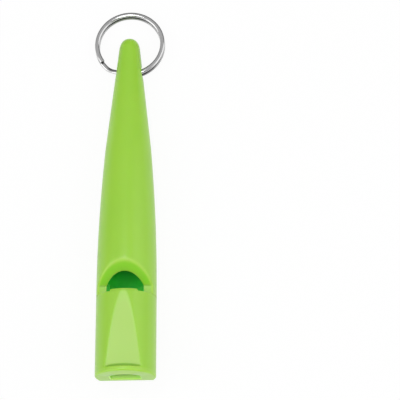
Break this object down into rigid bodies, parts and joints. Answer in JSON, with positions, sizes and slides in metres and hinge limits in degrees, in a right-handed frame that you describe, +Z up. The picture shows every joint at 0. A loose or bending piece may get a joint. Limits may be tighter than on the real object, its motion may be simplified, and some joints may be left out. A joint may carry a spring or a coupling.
{
  "type": "dog whistle",
  "caption": "Pea-less plastic dog whistle, a tapered horn with a sound window and a flat mouthpiece, lying on its back with a steel split ring through its tip.",
  "frame": {"origin": "on the table, under the middle of the whole length from the mouth end to the ring's far edge", "axes": "+Z up, out of the table and towards the window side; +Y along the whistle from the mouthpiece to the ring; +X to the right as the window is seen from above"},
  "size_m": [0.017, 0.0918, 0.0153],
  "materials": {
    "green_plastic": "moulded, glossy lime green",
    "ring_steel": "bright nickel plate on steel wire"
  },
  "bodies": {
    "whistle": {"horn": "green_plastic", "mouthpiece": "green_plastic"},
    "ring": {"split_ring": "ring_steel"}
  },
  "joints": [
    {"name": "ring_swing", "type": "hinge", "parent": "whistle", "child": "ring", "pos_m": [0, 0.02959, 0.0023], "axis": [1, 0, 0], "range_deg": [-161, 155]}
  ]
}
